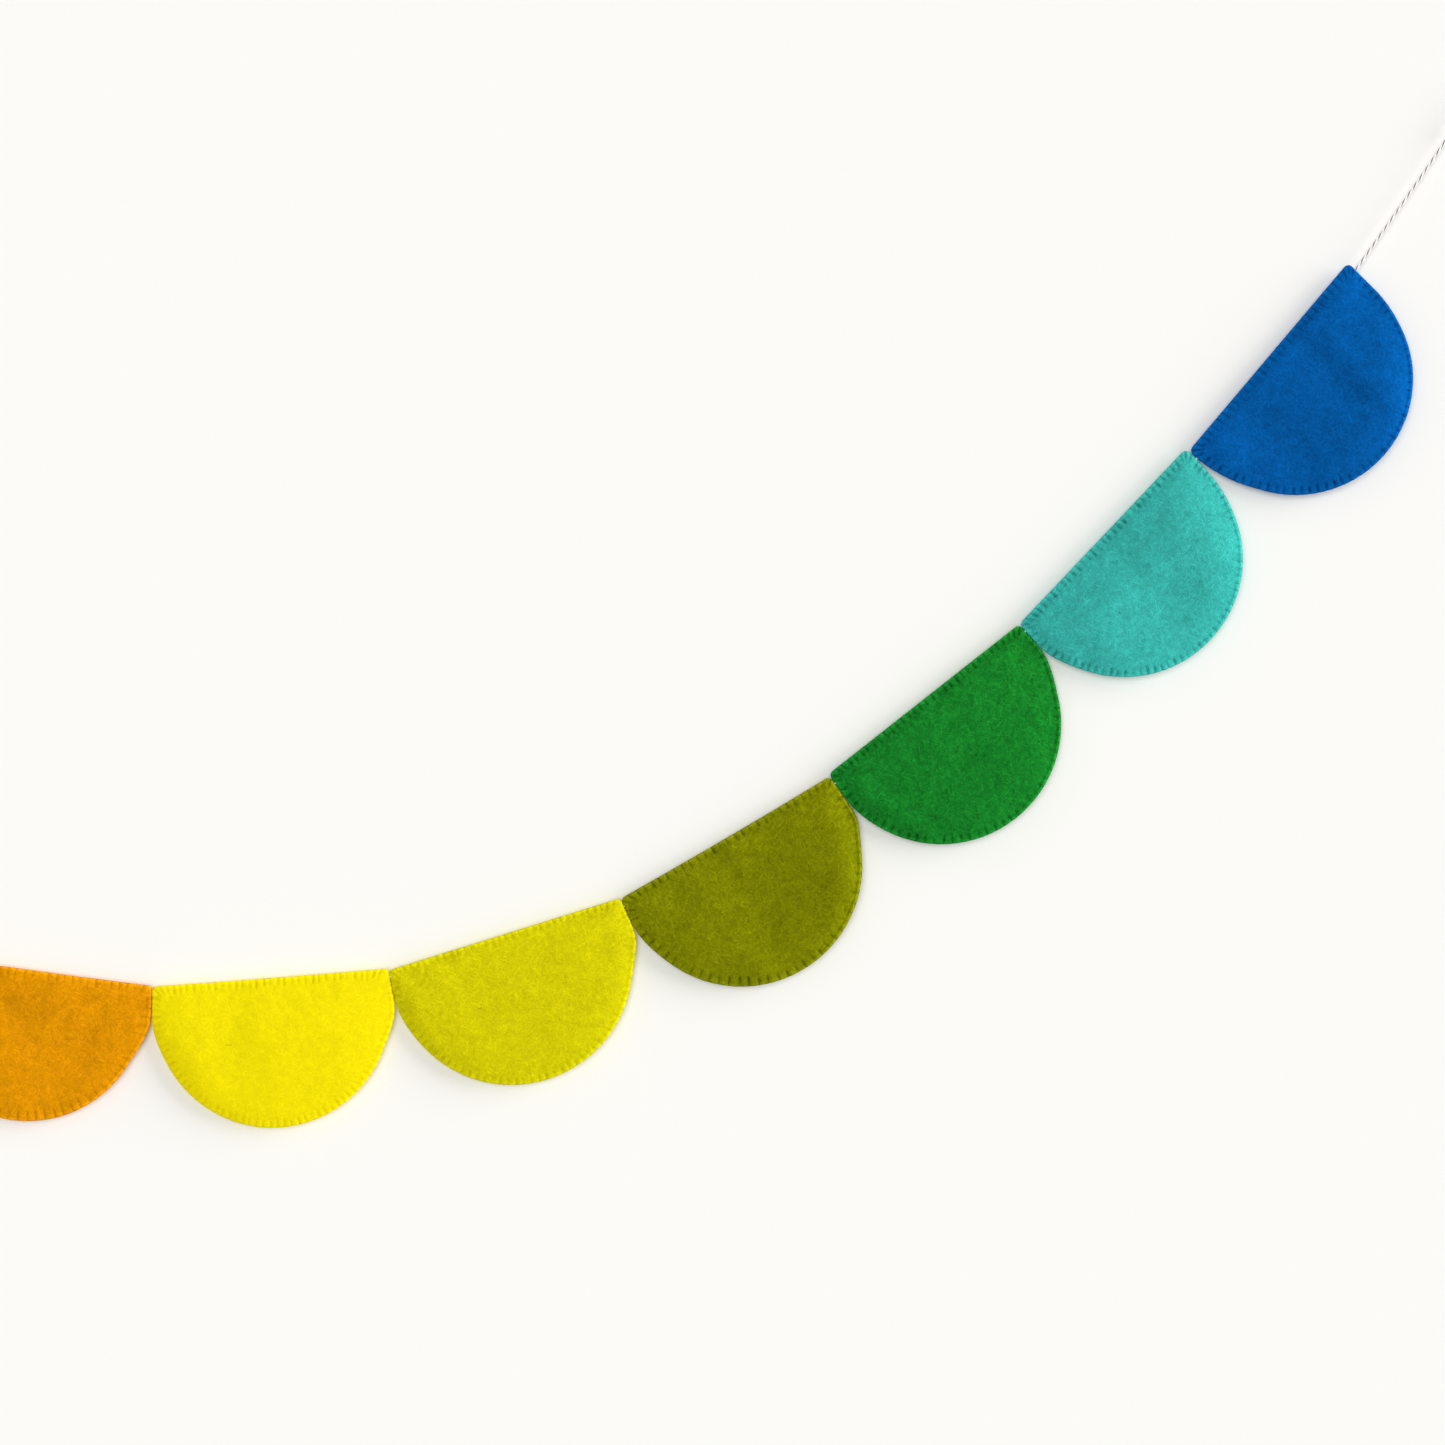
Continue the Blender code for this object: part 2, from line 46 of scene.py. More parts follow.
# One entry for each scallop from left to right.
# The CAD has the same sizes, from slope to creases. slope and pitch are the twine's inside it,
# tilt is the top edge's, inset is how far the twine lies below that edge, and centre is the
# middle of the belly's circle. Each crease is start u, start v, end u, end v, half width and height.
# The CAD leaves out fullness, how much farther the left and right sides reach where they are
# pressed against their neighbours, and shift, how far to the right of the twine's bend the left
# side meets its neighbour.
# stitchGaps, bites and ticks are pairs, for the top edge and the belly: the distance between
# stitches, how far in they reach and how dark their painted shade is, which also sets how deep
# their grooves are pressed. mottleAndHighlight is how strongly the felt's colour varies, and also
# how strong the painted highlight is on the swellings between stitches and at the very edge.
scallops = {
    "orange": {
        "slope": -7.8, "pitch": 102.3, "tilt": -7.8, "inset": 3.3, "dip": 0.3,
        "corners": (51.5, 51.2), "cornerRound": 1.4, "radius": 49.5, "centre": (-1.0, 14.4),
        "fullness": (0.0, 1.9), "shift": 0.0,
        "lift": 1.0, "creases": [
            (-12, 19, 16, 24, 24.5, -0.57), (-5, 4, 11, 16, 20.9, 0.58), (17, 54, 12, 57, 15.8, -0.25),
            (43, 2, 44, 9, 6.5, -0.14), (-8, 17, 11, 20, 12.4, -0.34), (0, 10, -17, 16, 14.7, -0.25)],
        "stitchGaps": (3.4, 4.1), "bites": (3.6, 4.2), "ticks": (0.2, 0.6), "mottleAndHighlight": 0.55,
        "colour": (0.703, 0.276, 0.001),
    },
    "yellow": {
        "slope": 4.1, "pitch": 101.6, "tilt": 4.4, "inset": 3.45, "dip": 0.2,
        "corners": (51.2, 51.2), "cornerRound": 1.2, "radius": 50.0, "centre": (-1.3, 13.25),
        "fullness": (1.1, 1.3), "shift": -0.7,
        "lift": 0.6, "creases": [
            (22, 22, -8, 19, 34, 0.55), (-60, 25, -31, 66, 18.3, -0.52), (-38, 11, -33, 43, 22.4, 0.32),
            (2, 48, 45, 53, 34, 0.47), (-14, 2, -20, 24, 13.5, -0.12), (46, 14, 26, 17, 12.7, -0.11)],
        "stitchGaps": (2.95, 3.1), "bites": (3.4, 3.4), "ticks": (0.3, 0.28), "mottleAndHighlight": 0.25,
        "colour": (0.866, 0.722, 0.002),
    },
    "chartreuse": {
        "slope": 16.9, "pitch": 102.9, "tilt": 17.3, "inset": 3.6, "dip": 0.0,
        "corners": (51.9, 51.8), "cornerRound": 1.3, "radius": 51.2, "centre": (-1.9, 12.55),
        "fullness": (1.2, 2.0), "shift": -1.3,
        "lift": 1.4, "creases": [
            (-60, 7, -47, 60, 11.8, -0.73), (3, 28, 21, 38, 27.7, 0.31), (-47, 41, -45, 43, 21.9, -0.56),
            (46, 3, 41, 27, 7.7, 0.15), (35, 33, 24, 19, 17.2, 0.29), (-37, 5, -32, 11, 8.7, 0.18)],
        "stitchGaps": (3.0, 3.45), "bites": (2.4, 2.7), "ticks": (0.35, 0.35), "mottleAndHighlight": 0.48,
        "colour": (0.631, 0.578, 0.002),
    },
    "olive": {
        "slope": 30.3, "pitch": 103.4, "tilt": 30.3, "inset": 3.8, "dip": 0.4,
        "corners": (52.0, 51.8), "cornerRound": 1.6, "radius": 51.05, "centre": (-0.7, 13.4),
        "fullness": (1.1, 2.1), "shift": -0.6,
        "lift": 1.8, "creases": [
            (30, 18, 28, 35, 31.2, 1.32), (44, 6, 36, 41, 9.7, 0.36), (-12, 2, -4, 63, 15, -0.54),
            (-5, 8, -26, 28, 34, 0.78), (28, 47, -11, 56, 20.6, 0.76), (-32, 17, -22, 27, 15.5, -0.55),
            (20, 40, 11, 48, 12.5, -0.38), (8, 12, 47, 17, 13, -0.4), (-9, 2, -6, 14, 6.7, -0.21)],
        "stitchGaps": (3.7, 4.35), "bites": (2.6, 3.5), "ticks": (1.2, 1.4), "mottleAndHighlight": 0.8,
        "colour": (0.191, 0.209, 0.001),
    },
    "green": {
        "slope": 38.7, "pitch": 103.3, "tilt": 38.2, "inset": 4.55, "dip": 0.0,
        "corners": (52.0, 51.8), "cornerRound": 1.8, "radius": 50.75, "centre": (-1.4, 12.55),
        "fullness": (0.6, 1.1), "shift": -0.7,
        "lift": 1.2, "creases": [
            (56, 7, 37, 65, 33.7, -0.96), (-36, 15, -20, 53, 27.4, 1.12), (8, 8, -6, 8, 34, 1.16),
            (56, 10, 34, 23, 21.3, 0.68), (-22, 16, -35, 13, 14, -0.5), (16, 50, 8, 46, 34, 1.02),
            (-46, 15, -37, 44, 8.1, 0.36), (44, 12, 47, 21, 9.2, -0.48), (3, 26, 47, 30, 11.2, -0.19)],
        "stitchGaps": (3.2, 3.9), "bites": (2.9, 2.85), "ticks": (1.75, 1.5), "mottleAndHighlight": 1.0,
        "colour": (0.008, 0.198, 0.019),
    },
    "teal": {
        "slope": 45.3, "pitch": 102.3, "tilt": 46.5, "inset": 5.25, "dip": 0.0,
        "corners": (51.8, 51.8), "cornerRound": 2.2, "radius": 50.0, "centre": (-0.9, 12.85),
        "fullness": (1.1, -0.4), "shift": -0.8,
        "lift": 1.6, "creases": [
            (26, 11, 19, 49, 26.7, 1.27), (-29, 17, 1, 14, 30.5, 1.58), (-30, 44, 26, 40, 31, 1.12),
            (-17, 19, 2, 25, 10, 0.23), (39, 17, 34, 20, 27.8, 0.64), (-43, 2, -47, 24, 7.6, 0.28),
            (0, 2, -4, 23, 7.8, -0.17), (-1, 56, -3, 57, 11, 0.22), (23, 21, 39, 8, 10.7, 0.12)],
        "stitchGaps": (3.05, 3.2), "bites": (3.2, 3.05), "ticks": (1.1, 0.95), "mottleAndHighlight": 0.65,
        "colour": (0.041, 0.429, 0.381),
    },
    "blue": {
        "slope": 50.0, "pitch": 104.6, "tilt": 49.8, "inset": 4.5, "dip": 0.0,
        "corners": (53.4, 52.3), "cornerRound": 2.4, "radius": 49.25, "centre": (0.5, 14.5),
        "fullness": (0.2, 0.0), "shift": 0.0,
        "lift": 2.2, "creases": [
            (32, 6, 25, 44, 23.6, 1.46), (0, 13, 0, 50, 34, 1.38), (52, 24, 11, 56, 16.3, 0.52),
            (-42, 13, -41, 9, 12, 0.46), (20, 17, 19, 55, 9.4, 0.38), (12, 38, -2, 50, 15.7, 0.31),
            (6, 3, -16, 6, 10.1, 0.26), (22, 4, 39, 6, 13.3, 0.51), (-22, 14, -28, 43, 10.6, -0.19)],
        "stitchGaps": (3.4, 3.7), "bites": (3.8, 3.15), "ticks": (0.5, 1.55), "mottleAndHighlight": 0.66,
        "colour": (0.001, 0.095, 0.347),
    },
}
rowOfNames = list(scallops)


def direction(slope):
    angle = math.radians(slope)
    return Vector((math.cos(angle), 0.0, math.sin(angle)))


def smoothStep(value):
    value = min(max(value, 0.0), 1.0)
    return value * value * (3.0 - 2.0 * value)


def softBump(distance, halfWidth):
    if abs(distance) >= halfWidth:
        return 0.0
    return math.cos(0.5 * math.pi * distance / halfWidth) ** 2


def bell(distance, width):
    return math.exp(-(distance / width) ** 2)


def between(first, second, share):
    return first + (second - first) * share


# Camera, straight on to the row as in the photograph.
cameraView = {"lens": 100.0, "sensor": 36.0, "middleX": -0.3223, "middleZ": -0.2697, "distance": 1.699}


def addCamera():
    data = bpy.data.cameras.new("camera")
    data.lens = cameraView["lens"]
    data.sensor_width = cameraView["sensor"]
    camera = bpy.data.objects.new("camera", data)
    camera.location = (cameraView["middleX"], -cameraView["distance"], cameraView["middleZ"])
    camera.rotation_euler = (math.radians(90.0), 0.0, 0.0)
    bpy.context.scene.collection.objects.link(camera)
    bpy.context.scene.camera = camera


addCamera()
print("camera placed")


# Shader nodes.

class Wire:
    # A socket that takes part in plain arithmetic.
    def __init__(self, look, socket):
        self.look = look
        self.socket = socket

    def join(self, operation, first, second):
        return self.look.node("ShaderNodeMath", {"operation": operation}, {0: first, 1: second})

    def __add__(self, other):
        return self.join("ADD", self, other)

    def __radd__(self, other):
        return self.join("ADD", other, self)

    def __sub__(self, other):
        return self.join("SUBTRACT", self, other)

    def __rsub__(self, other):
        return self.join("SUBTRACT", other, self)

    def __mul__(self, other):
        return self.join("MULTIPLY", self, other)

    def __rmul__(self, other):
        return self.join("MULTIPLY", other, self)


class Look:
    # A material with a Principled shader, and one method that adds any other node.
    def __init__(self, name, sockets):
        self.material = bpy.data.materials.new(name)
        self.material.use_nodes = True
        self.tree = self.material.node_tree
        self.shader = self.tree.nodes["Principled BSDF"]
        self.feed(self.shader, sockets)

    def feed(self, target, inputs):
        for key, value in inputs.items():
            if isinstance(value, Wire):
                self.tree.links.new(value.socket, target.inputs[key])
            else:
                target.inputs[key].default_value = value

    def node(self, kind, settings, inputs, output=0):
        made = self.tree.nodes.new(kind)
        for key, value in settings.items():
            setattr(made, key, value)
        self.feed(made, inputs)
        return Wire(self, made.outputs[output])

    def noise(self, place, scale, detail, roughness=0.5, distortion=0.0):
        return self.node("ShaderNodeTexNoise", {}, {
            "Vector": place, "Scale": scale, "Detail": detail, "Roughness": roughness,
            "Distortion": distortion})

    def spread(self, value, low, high):
        return self.node("ShaderNodeMapRange", {"interpolation_type": "SMOOTHSTEP"}, {
            "Value": value, "From Min": low, "From Max": high})

    def mixColour(self, share, first, second):
        return self.node("ShaderNodeMix", {"data_type": "RGBA"}, {
            "Factor": share, "A": (*first, 1.0), "B": (*second, 1.0)}, 2)

    def bump(self, height, strength, distance):
        return self.node("ShaderNodeBump", {}, {
            "Height": height, "Strength": strength, "Distance": distance})


def addPiece(sheet, name, material):
    # Turns a finished bmesh into an object at the origin, with its faces outwards.
    sheet.normal_update()
    bmesh.ops.recalc_face_normals(sheet, faces=sheet.faces[:])
    mesh = bpy.data.meshes.new(name)
    sheet.to_mesh(mesh)
    sheet.free()
    mesh.shade_smooth()
    mesh.materials.append(material)
    piece = bpy.data.objects.new(name, mesh)
    bpy.context.scene.collection.objects.link(piece)
    return piece


def newVerts(geom):
    return [item for item in geom if isinstance(item, bmesh.types.BMVert)]


def newEdges(geom):
    return [item for item in geom if isinstance(item, bmesh.types.BMEdge)]


def sweepTubes(copies, rings, sides, placeAt, markName, markAt):
    # One closed tube for each copy, drawn out ring by ring and then duplicated. placeAt gives
    # the place of each vertex from its copy, ring and side, and markAt the value of a mark.
    tubes = bmesh.new()
    copyOf = tubes.verts.layers.int.new("copy")
    ringOf = tubes.verts.layers.int.new("ring")
    sideOf = tubes.verts.layers.int.new("side")
    mark = tubes.verts.layers.float.new(markName)
    circle = bmesh.ops.create_circle(tubes, segments=sides, radius=1.0)["verts"]
    for side, vertex in enumerate(circle):
        vertex[sideOf] = side
    loop = tubes.edges[:]
    for ring in range(1, rings):
        grown = bmesh.ops.extrude_edge_only(tubes, edges=loop)["geom"]
        for vertex in newVerts(grown):
            vertex[ringOf] = ring
        loop = newEdges(grown)
    bmesh.ops.holes_fill(tubes, edges=[edge for edge in tubes.edges if edge.is_boundary], sides=sides)
    made = 1
    while made < copies:
        wanted = min(made, copies - made)
        verts = [vertex for vertex in tubes.verts if vertex[copyOf] < wanted]
        edges = [edge for edge in tubes.edges if edge.verts[0][copyOf] < wanted]
        faces = [face for face in tubes.faces if face.verts[0][copyOf] < wanted]
        doubled = bmesh.ops.duplicate(tubes, geom=verts + edges + faces)["geom"]
        for vertex in newVerts(doubled):
            vertex[copyOf] += made
        made += wanted
    for vertex in tubes.verts:
        vertex.co = placeAt(vertex[copyOf], vertex[ringOf], vertex[sideOf])
        vertex[mark] = markAt(vertex[copyOf], vertex[ringOf])
    return tubes


# Twine: four twisted strands, two of them dark red.
twine = {
    "diameter": 1.25, "strandRadius": 0.39, "strandOffset": 0.24, "strands": 4, "redStrands": (0, 2),
    "redThinner": 0.63, "redFurther": 1.06, "lay": -8.6, "strandSides": 6, "step": 0.6,
    "bend": 3.0, "bendSteps": 6, "rightTail": 70.0, "rightSlope": 55.2, "leftTail": 34.0,
    "leftSlope": -13.4, "tailBow": 0.4, "tailSteps": 24, "tailInside": 0.4, "knotHalf": 2.6,
    "knotTurns": 3.4, "knotRadius": 1.24, "knotSteps": 72, "knotEnds": 0.12, "knotWaist": 0.25,
    "cordGap": 0.38, "loopLength": 22.0, "loopBend": 2.8, "loopOffset": 0.8, "loopSteps": 12,
    "loopInside": 0.7, "loopPhase": 2.0, "white": (0.97, 0.96, 0.94), "whiteDeep": (0.90, 0.885, 0.86),
    "red": (0.15, 0.04, 0.042), "redDeep": (0.07, 0.016, 0.018), "roughness": 0.8, "sheen": 0.15,
    "sheenRoughness": 0.5, "fibreScale": 5200.0, "patchScale": 900.0, "bumpStrength": 0.5,
    "bumpDistance": 0.00012,
}
knotReach = twine["knotHalf"] + twine["cordGap"]
rightWay = direction(twine["rightSlope"])
leftWay = direction(twine["leftSlope"])
rightEye = Vector((0.0, 0.0, 0.0))
rightKnot = rightEye - twine["loopLength"] * rightWay
rightExit = rightKnot - (knotReach + twine["rightTail"]) * rightWay


def findJunctions():
    # Where the twine passes from one scallop to the next, from the left exit to the right one.
    points = [rightExit]
    for name in reversed(rowOfNames):
        points.append(points[-1] - scallops[name]["pitch"] * direction(scallops[name]["slope"]))
    return points[::-1]


junctions = findJunctions()
leftExit = junctions[0]
leftKnot = leftExit - (knotReach + twine["leftTail"]) * leftWay
leftEye = leftKnot - twine["loopLength"] * leftWay


def runPoints():
    points = [leftExit]
    bend = twine["bend"]
    for place in range(1, len(rowOfNames)):
        start = junctions[place] - bend * direction(scallops[rowOfNames[place - 1]]["slope"])
        end = junctions[place] + bend * direction(scallops[rowOfNames[place]]["slope"])
        for step in range(twine["bendSteps"] + 1):
            share = step / twine["bendSteps"]
            first = start.lerp(junctions[place], share)
            second = junctions[place].lerp(end, share)
            points.append(first.lerp(second, share))
    points.append(rightExit)
    return points


def tailPoints(start, end):
    points = []
    for step in range(twine["tailSteps"] + 1):
        share = step / twine["tailSteps"]
        place = start.lerp(end, share)
        place.z -= twine["tailBow"] * math.sin(math.pi * share)
        points.append(place)
    return points


def loopPoints(knot, eye):
    # Out of the knot along one side, round the eye and home along the other side.
    away = (eye - knot).normalized()
    across = Vector((-away.z, 0.0, away.x))
    straight = (eye - knot).length - knotReach
    outward = []
    homeward = []
    for step in range(twine["loopSteps"]):
        share = step / twine["loopSteps"]
        offset = between(twine["loopOffset"], twine["loopBend"], smoothStep(share))
        place = knot + (knotReach + share * straight) * away
        outward.append(place + offset * across)
        homeward.append(place - offset * across)
    bend = []
    for step in range(twine["loopSteps"] + 1):
        angle = math.pi * step / twine["loopSteps"]
        bend.append(eye + twine["loopBend"] * (math.sin(angle) * away + math.cos(angle) * across))
    return outward + bend + homeward[::-1]


def knotPoints(centre, away):
    # A cord wrapped round itself: in along the middle, round and back along the middle.
    across = Vector((-away.z, 0.0, away.x))
    out = Vector((0.0, -1.0, 0.0))
    turn = 2.0 * math.pi * twine["knotTurns"]
    half = twine["knotHalf"] - 0.5 * twine["diameter"]
    points = []
    for step in range(twine["knotSteps"] + 1):
        share = step / twine["knotSteps"]
        ends = smoothStep(min(share, 1.0 - share) / twine["knotEnds"])
        radius = twine["knotRadius"] * between(twine["knotWaist"], 1.0, ends)
        angle = share * turn
        ring = math.cos(angle) * across + math.sin(angle) * out
        points.append(centre + half * (2.0 * share - 1.0) * away + radius * ring)
    return points


def evenly(points, step):
    # The same line with points a fixed distance apart, and how far along each one is.
    marks = [0.0]
    for first, second in zip(points[:-1], points[1:]):
        marks.append(marks[-1] + (second - first).length)
    count = max(round(marks[-1] / step), 2)
    places = []
    for number in range(count + 1):
        distance = marks[-1] * number / count
        after = min(bisect_right(marks, distance), len(points) - 1)
        share = (distance - marks[after - 1]) / (marks[after] - marks[after - 1])
        places.append(points[after - 1].lerp(points[after], min(share, 1.0)))
    return places, marks[-1]


def cordFrames(places):
    # At each place the way on, and two directions across it that turn as little as can be.
    frames = []
    side = None
    for number, place in enumerate(places):
        before = places[max(number - 1, 0)]
        after = places[min(number + 1, len(places) - 1)]
        onward = (after - before).normalized()
        if side is None:
            side = onward.cross(Vector((0.0, 1.0, 0.0)))
        side = (side - side.dot(onward) * onward).normalized()
        frames.append((place, side, onward.cross(side)))
    return frames


def twistedCord(name, points, phase, material):
    # All strands of one length of twine. Returns the piece and its length.
    places, length = evenly(points, twine["step"])
    frames = cordFrames(places)

    def placeAt(strand, ring, side):
        centre, across, up = frames[ring]
        turned = 2.0 * math.pi * (phase + length * ring / (len(places) - 1)) / twine["lay"]
        angle = turned + 2.0 * math.pi * strand / twine["strands"]
        isRed = strand in twine["redStrands"]
        radius = twine["strandRadius"] * (twine["redThinner"] if isRed else 1.0)
        offset = twine["strandOffset"] * (twine["redFurther"] if isRed else 1.0)
        around = angle + 2.0 * math.pi * side / twine["strandSides"]
        spot = centre + offset * (math.cos(angle) * across + math.sin(angle) * up)
        spot += radius * (math.cos(around) * across + math.sin(around) * up)
        return spot * mm

    def redAt(strand, ring):
        return 1.0 if strand in twine["redStrands"] else 0.0

    tubes = sweepTubes(twine["strands"], len(places), twine["strandSides"], placeAt, "red", redAt)
    return addPiece(tubes, name, material), length


def makeTwineLook():
    look = Look("cotton twine", {
        "Roughness": twine["roughness"], "Sheen Weight": twine["sheen"],
        "Sheen Roughness": twine["sheenRoughness"]})
    place = look.node("ShaderNodeTexCoord", {}, {}, "Object")
    red = look.node("ShaderNodeAttribute", {"attribute_name": "red"}, {}, "Fac")
    fibres = look.noise(place, twine["fibreScale"], 3.0, 0.6)
    patches = look.noise(place, twine["patchScale"], 2.0)
    share = look.spread(0.6 * fibres + 0.4 * patches, 0.35, 0.65)
    white = look.mixColour(share, twine["whiteDeep"], twine["white"])
    darkRed = look.mixColour(share, twine["redDeep"], twine["red"])
    colour = look.node("ShaderNodeMix", {"data_type": "RGBA"}, {
        "Factor": red, "A": white, "B": darkRed}, 2)
    look.feed(look.shader, {
        "Base Color": colour,
        "Normal": look.bump(fibres, twine["bumpStrength"], twine["bumpDistance"])})
    return look.material


def makeTwine():
    material = makeTwineLook()
    run, runLength = twistedCord("twineRun", runPoints(), 0.0, material)
    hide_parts("twine_run")
    made = [run]
    ends = (
        ("right", rightExit, rightKnot, rightEye, twine["rightTail"], runLength),
        ("left", leftExit, leftKnot, leftEye, twine["leftTail"], 0.0),
    )
    for end, tailStart, knot, eye, tailLength, phase in ends:
        away = (eye - knot).normalized()
        route = tailPoints(tailStart, knot - knotReach * away)
        # Its strands go on into the knot.
        onward = route + [knot - twine["tailInside"] * knotReach * away]
        handed = onward if end == "right" else onward[::-1]
        if end == "left":
            phase = -evenly(onward, twine["step"])[1]
        tail, _ = twistedCord(end + "Tail", handed, phase, material)
        knotPiece, _ = twistedCord(end + "Knot", knotPoints(knot, away), 0.0, material)
        loop = loopPoints(knot, eye)
        inside = knot - twine["loopInside"] * knotReach * away
        loopPiece, _ = twistedCord(
            end + "Loop", [inside] + loop + [inside], twine["loopPhase"], material)
        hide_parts("twine_" + end + "_tail")
        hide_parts(end + "_knot")
        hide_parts(end + "_loop")
        tuple(tailStart * mm)
        tailLength * mm
        [point * mm for point in route]
        made += [tail, knotPiece, loopPiece]
    for piece in made:
        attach(piece, "root")
    print("twine made:", len(made), "pieces, run", round(runLength, 1), "mm")
    return run


twineRun = makeTwine()


# Felt. u runs along the top edge from its middle and v runs down from it.
felt = {
    "layerGap": 0.36, "channelAbove": 3.2, "channelBelow": 5.0, "clearance": 0.35, "channelShows": 0.35,
    "junctionGap": 0.3, "fullDepth": 12.0, "fullReach": 24.0, "pressed": 1.2, "sideEnd": 34.0,
    "sideExponent": 1.35, "topSteps": 200, "cornerAngle": 9, "sideSteps": 40, "bellySteps": 180,
    "creaseStart": 5.0, "creaseFade": 14.0, "directionStep": 0.6, "directionBlur": 7.5,
    "depthStep": 0.5, "depthSteps": 18, "depthPasses": 4, "frontRings": 28, "backRings": 14,
    "hiddenRings": 5, "hiddenDepth": 2.4, "hiddenHeight": 0.12, "hiddenStart": 4.0, "hiddenFirst": 0.1,
    "coreHalf": 20.0, "coreDepth": 27.0, "merge": 1e-7, "paintedCreaseShade": 1.8,
    "lumpSize": 1.9, "lumpHeight": 0.17, "waveSize": 6.0, "waveHeight": 0.2, "waveFade": 6.0,
    "dimpleSize": 2.6, "dimpleHeight": 0.09, "dimpleFade": 0.25, "channelFrom": 1.5, "channelFade": 2.0,
    "outerFrom": 0.3, "outerFade": 0.7, "opening": 0.62, "openingReach": 1.9, "openingThins": 0.35,
    "openingFade": 0.9,
}
# The first ring of each part of a layer, to tell its rings apart.
firstRings = {"face": 100, "turn": 200, "hidden": 300}
# Section through the rim of one layer: distance in from the edge, and height off the seam.
rimSection = (
    (1.2, 0.06), (0.3, 0.06), (0.0, 0.30), (0.03, 0.60), (0.28, 0.88), (0.7, 1.08), (1.2, 1.22),
    (1.7, 1.33), (2.2, 1.43), (2.7, 1.52), (3.2, 1.60), (3.8, 1.69), (4.6, 1.79),
)
faceSection = ((4.6, 1.79), (6.5, 1.95), (9.0, 2.06), (13.0, 2.12))


def twineDepth(part, u):
    return part["inset"] + u * math.tan(math.radians(part["tilt"] - part["slope"]))


def twineCrossing(part, side):
    # Where the twine leaves the scallop on its left (-1) or right (1) side.
    u = side * 0.5 * part["pitch"]
    return Vector((u, twineDepth(part, u)))


def neighbourLimit(name, side, v):
    # The outline stops short of the line that halves the angle to the next scallop.
    part = scallops[name]
    place = rowOfNames.index(name) + side
    if not 0 <= place < len(rowOfNames):
        return math.inf
    halfTurn = math.radians(0.5 * side * (scallops[rowOfNames[place]]["tilt"] - part["tilt"]))
    junction = 0.5 * part["pitch"]
    shift = side * scallops[rowOfNames[place] if side > 0 else name]["shift"]
    below = v - twineDepth(part, side * junction)
    return junction + shift - 0.5 * felt["junctionGap"] + below * math.tan(halfTurn)


def sideReach(name, side, v):
    part = scallops[name]
    centreU = side * part["centre"][0]
    below = max(v - part["centre"][1], 0.0)
    reach = centreU + math.sqrt(max(part["radius"] ** 2 - below ** 2, 0.0))
    corner = part["corners"][0 if side < 0 else 1]
    if v < felt["sideEnd"]:
        reach += (corner - centreU - part["radius"]) * (1.0 - v / felt["sideEnd"]) ** felt["sideExponent"]
    fullness = part["fullness"][0 if side < 0 else 1]
    reach += fullness * softBump(v - felt["fullDepth"], felt["fullReach"])
    limit = neighbourLimit(name, side, v)
    near = max(1.0 - abs(limit - reach) / felt["pressed"], 0.0)    # rounds the place where they part
    reach = min(reach, limit) - 0.25 * felt["pressed"] * near ** 2
    rounding = part["cornerRound"]
    if v < rounding:
        reach -= rounding - math.sqrt(rounding ** 2 - (rounding - v) ** 2)
    return reach


def outlinePoints(name):
    # Along the top edge, down the right side, round the belly and up the left side.
    part = scallops[name]
    left = -sideReach(name, -1, 0.0)
    right = sideReach(name, 1, 0.0)
    points = []
    for step in range(felt["topSteps"]):
        share = step / felt["topSteps"]
        points.append(Vector((between(left, right, share), part["dip"] * 4.0 * share * (1.0 - share))))
    rounded = part["cornerRound"]
    middle = part["centre"][1]
    turns = range(0, 90, felt["cornerAngle"])
    depths = [rounded * (1.0 - math.cos(math.radians(angle))) for angle in turns]
    depths += [between(rounded, middle, step / felt["sideSteps"]) for step in range(felt["sideSteps"])]
    for step in range(felt["bellySteps"] + 1):
        depths.append(middle + part["radius"] * math.sin(math.radians(90.0 * step / felt["bellySteps"])))
    points += [Vector((sideReach(name, 1, v), v)) for v in depths]
    points += [Vector((-sideReach(name, -1, v), v)) for v in reversed(depths[1:-1])]
    return points


def fromCrease(crease, place):
    # The way to a place from the crease's middle line.
    start = Vector(crease[0:2])
    along = Vector(crease[2:4]) - start
    share = min(max((place - start).dot(along) / along.length_squared, 0.0), 1.0)
    return place - start - share * along


def creaseHeight(crease, place):
    halfWidth, height = crease[4:]
    return height * softBump(fromCrease(crease, place).length, halfWidth)


def creaseSlope(crease, place, toLight):
    # How steeply a crease rises in one direction.
    halfWidth, height = crease[4:]
    away = fromCrease(crease, place)
    if not 0.0 < away.length < halfWidth:
        return 0.0
    steepness = 0.5 * math.pi * height / halfWidth * math.sin(math.pi * away.length / halfWidth)
    return -steepness * away.dot(toLight) / away.length


def paintedCreaseShade(part, place):
    # Painted shade and highlight: the colour darkens on the side of a crease that is turned from
    # the light on the right, and lightens on the side that faces it.
    turn = math.radians(part["tilt"])
    toLight = Vector((math.cos(turn), math.sin(turn)))
    return felt["paintedCreaseShade"] * sum(creaseSlope(crease, place, toLight) for crease in part["creases"])


def forwardHeave(part, place):
    # How far the felt stands forward of the twine.
    depth = part["centre"][1] + part["radius"]
    lift = part["lift"] * smoothStep((place.y - part["inset"]) / (depth - part["inset"]))
    creases = sum(creaseHeight(crease, place) for crease in part["creases"])
    return lift + creases * smoothStep((place.y - felt["creaseStart"]) / felt["creaseFade"])


def channelRise(part, place):
    # How far each layer stands off to make room for the twine.
    below = place.y - twineDepth(part, place.x)
    reach = felt["channelAbove"] if below < 0.0 else felt["channelBelow"]
    return (0.5 * twine["diameter"] + felt["clearance"] - 0.5 * felt["layerGap"]) * softBump(below, reach)


